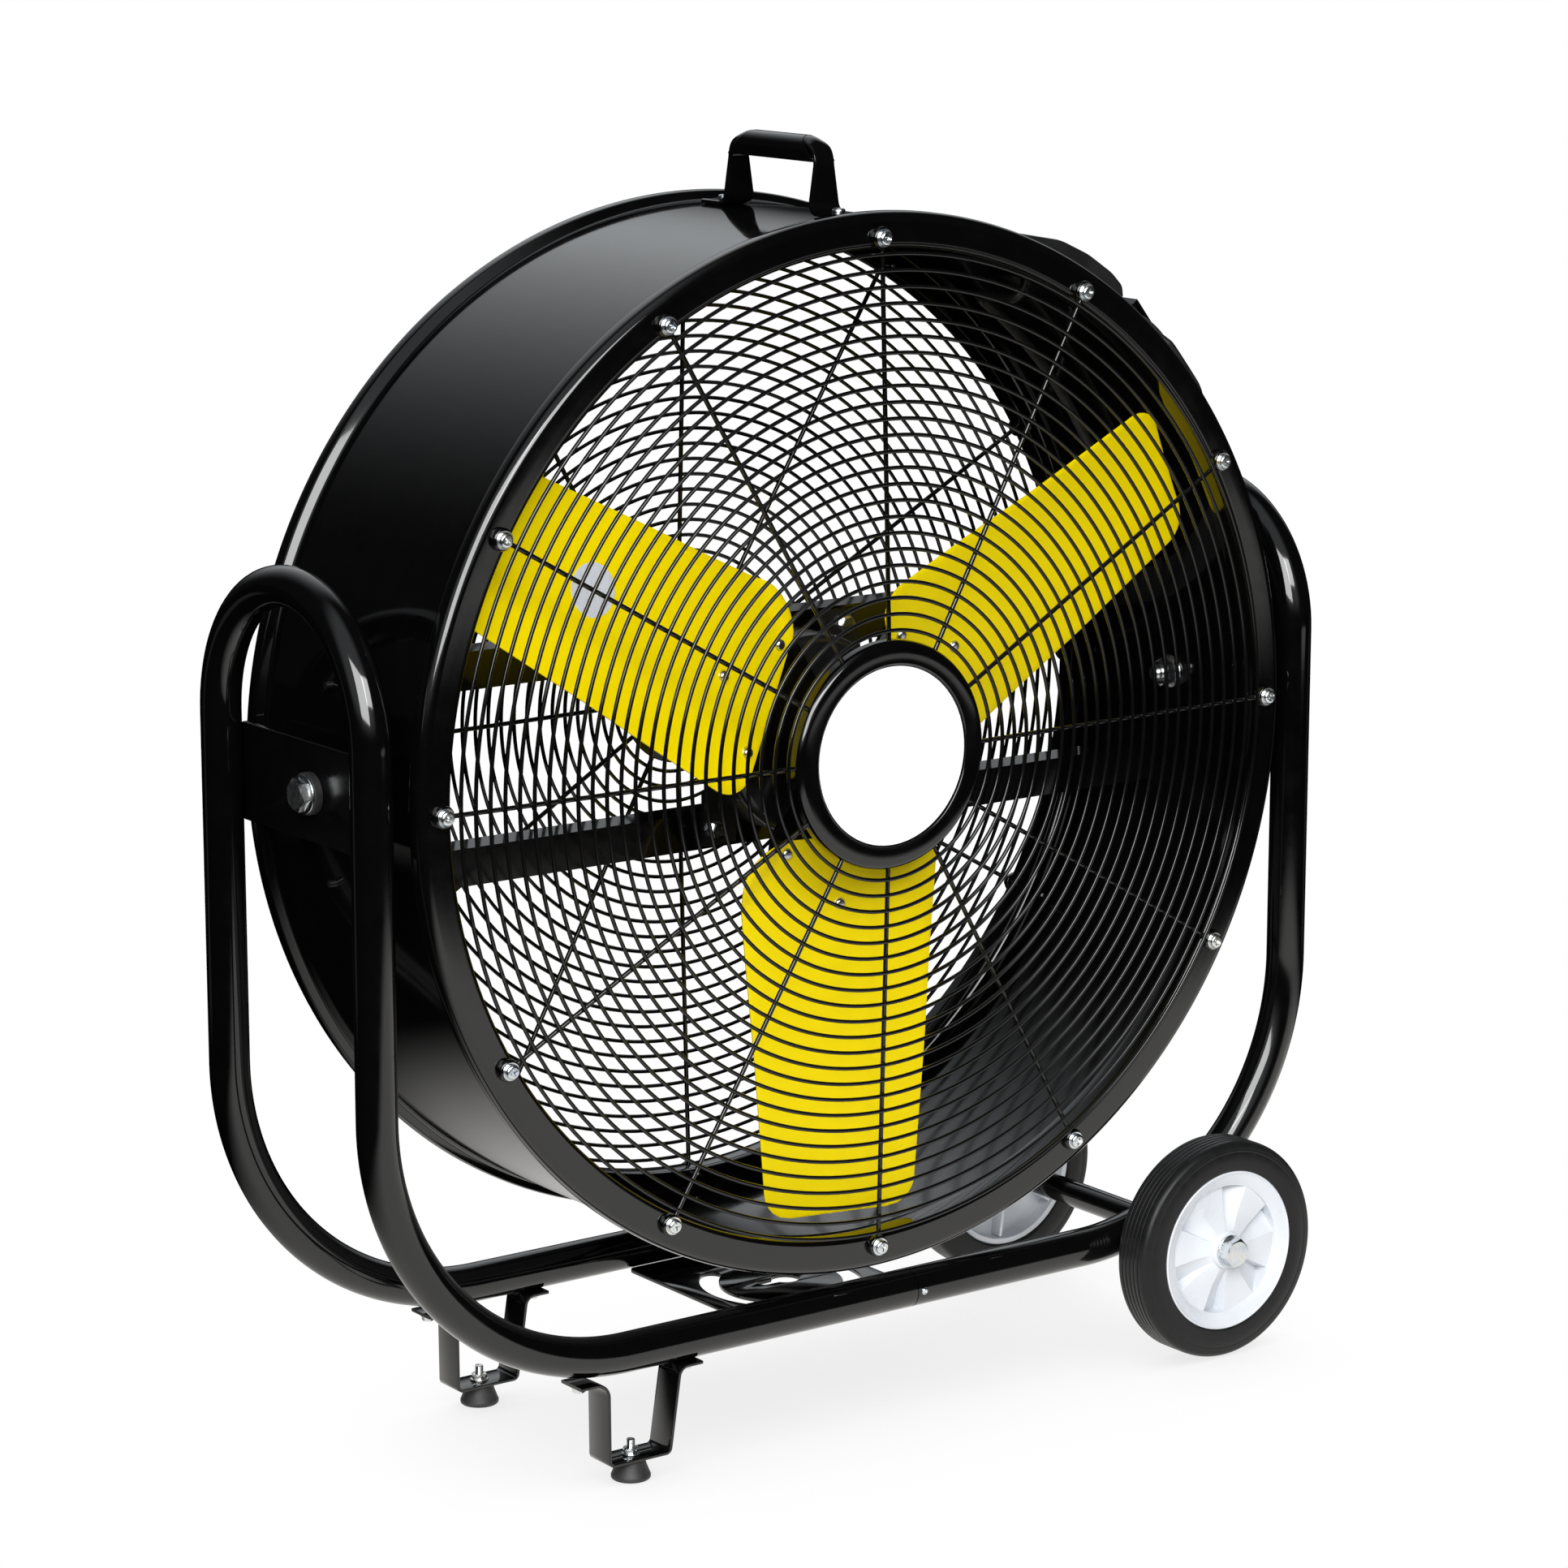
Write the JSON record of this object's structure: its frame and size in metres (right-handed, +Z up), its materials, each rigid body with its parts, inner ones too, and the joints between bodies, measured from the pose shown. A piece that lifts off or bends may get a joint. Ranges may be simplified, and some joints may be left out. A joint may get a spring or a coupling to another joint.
{
  "type": "tilting drum fan",
  "caption": "Axial drum fan tilting in a bent-tube cradle, with wire grilles, pitched sheet blades, a motor on cross bars, transport wheels and rubber feet.",
  "frame": {"origin": "on the floor, below the centre of the drum", "axes": "+Z up, +Y towards the air inlet (rear), -Y is the air outlet (front), +X towards the wheels"},
  "size_m": [1.056, 0.3992, 1.165],
  "materials": {
    "black_coat": "high-gloss black powder coat on steel",
    "zinc": "bright zinc-plated steel",
    "white_plastic": "moulded white plastic",
    "tyre_rubber": "black ribbed rubber",
    "black_rubber": "black rubber",
    "yellow_coat": "satin yellow coat on sheet steel",
    "white_label": "plain white disc",
    "bright_steel": "ground steel",
    "lamination_steel": "stacked electrical steel",
    "copper_wire": "enamelled copper winding",
    "black_plastic": "moulded black plastic",
    "aluminium_can": "drawn aluminium can",
    "motor_paint": "black paint on pressed steel"
  },
  "bodies": {
    "cradle": {"cradle_tube_left": "black_coat", "cradle_tube_right": "black_coat", "joint_sleeves": "bright_steel", "joint_rivets": "zinc", "pivot_plate_left": "black_coat", "pivot_plate_right": "black_coat", "base_plate": "black_coat", "axle_housing": "black_coat", "axle_gussets": "black_coat", "wheel_axle": "bright_steel", "axle_spacers": "black_rubber", "axle_nuts": "zinc", "foot_brackets": "black_coat", "foot_bracket_screws": "zinc", "foot_studs": "zinc", "rubber_feet": "black_rubber"},
    "front_wheel": {"wheel_hub_front": "white_plastic", "tyre_front": "tyre_rubber"},
    "rear_wheel": {"wheel_hub_rear": "white_plastic", "tyre_rear": "tyre_rubber"},
    "drum": {"drum_shell": "black_coat", "front_grille": "black_coat", "grille_cap": "black_coat", "cap_disc": "white_label", "rear_grille": "black_coat", "grille_bosses": "black_coat", "grille_screws": "zinc", "motor_bar_upper": "black_coat", "motor_bar_lower": "black_coat", "bar_screws": "zinc", "motor_housing": "motor_paint", "motor_front_cover": "motor_paint", "motor_rear_cover": "motor_paint", "stator_core": "lamination_steel", "stator_windings": "copper_wire", "motor_bearings": "bright_steel", "motor_bolts": "zinc", "motor_nuts": "zinc", "motor_cable": "black_rubber", "handle": "black_coat", "handle_screws": "zinc", "pivot_bolts": "zinc", "pivot_washers": "black_rubber", "pivot_spacers": "black_rubber", "pivot_nuts": "zinc", "control_box": "black_plastic", "speed_switch": "black_plastic", "run_capacitor": "aluminium_can", "cord_hooks": "black_coat", "power_cord": "black_rubber", "power_plug": "black_rubber"},
    "knob": {"speed_knob": "black_plastic"},
    "rotor": {"motor_shaft": "bright_steel", "rotor_core": "lamination_steel", "blade_spider": "black_coat", "blade_1": "yellow_coat", "blade_2": "yellow_coat", "blade_3": "yellow_coat", "blade_rivets": "zinc", "hub_nut": "zinc"}
  },
  "joints": [
    {"name": "drum_tilt", "type": "hinge", "parent": "cradle", "child": "drum", "pos_m": [0, 0, 0.628], "axis": [1, 0, 0], "range_deg": [-90, 90]},
    {"name": "fan_spin", "type": "hinge", "parent": "drum", "child": "rotor", "pos_m": [0, -0.02, 0.628], "axis": [0, 1, 0], "continuous": true},
    {"name": "front_wheel_spin", "type": "hinge", "parent": "cradle", "child": "front_wheel", "pos_m": [0.39, -0.165, 0.1055], "axis": [0, 1, 0], "continuous": true},
    {"name": "rear_wheel_spin", "type": "hinge", "parent": "cradle", "child": "rear_wheel", "pos_m": [0.39, 0.165, 0.1055], "axis": [0, 1, 0], "continuous": true},
    {"name": "speed_knob_turn", "type": "hinge", "parent": "drum", "child": "knob", "pos_m": [0.2842, 0.02, 1.02252], "axis": [0, 1, 0], "range_deg": [0, 120]}
  ]
}
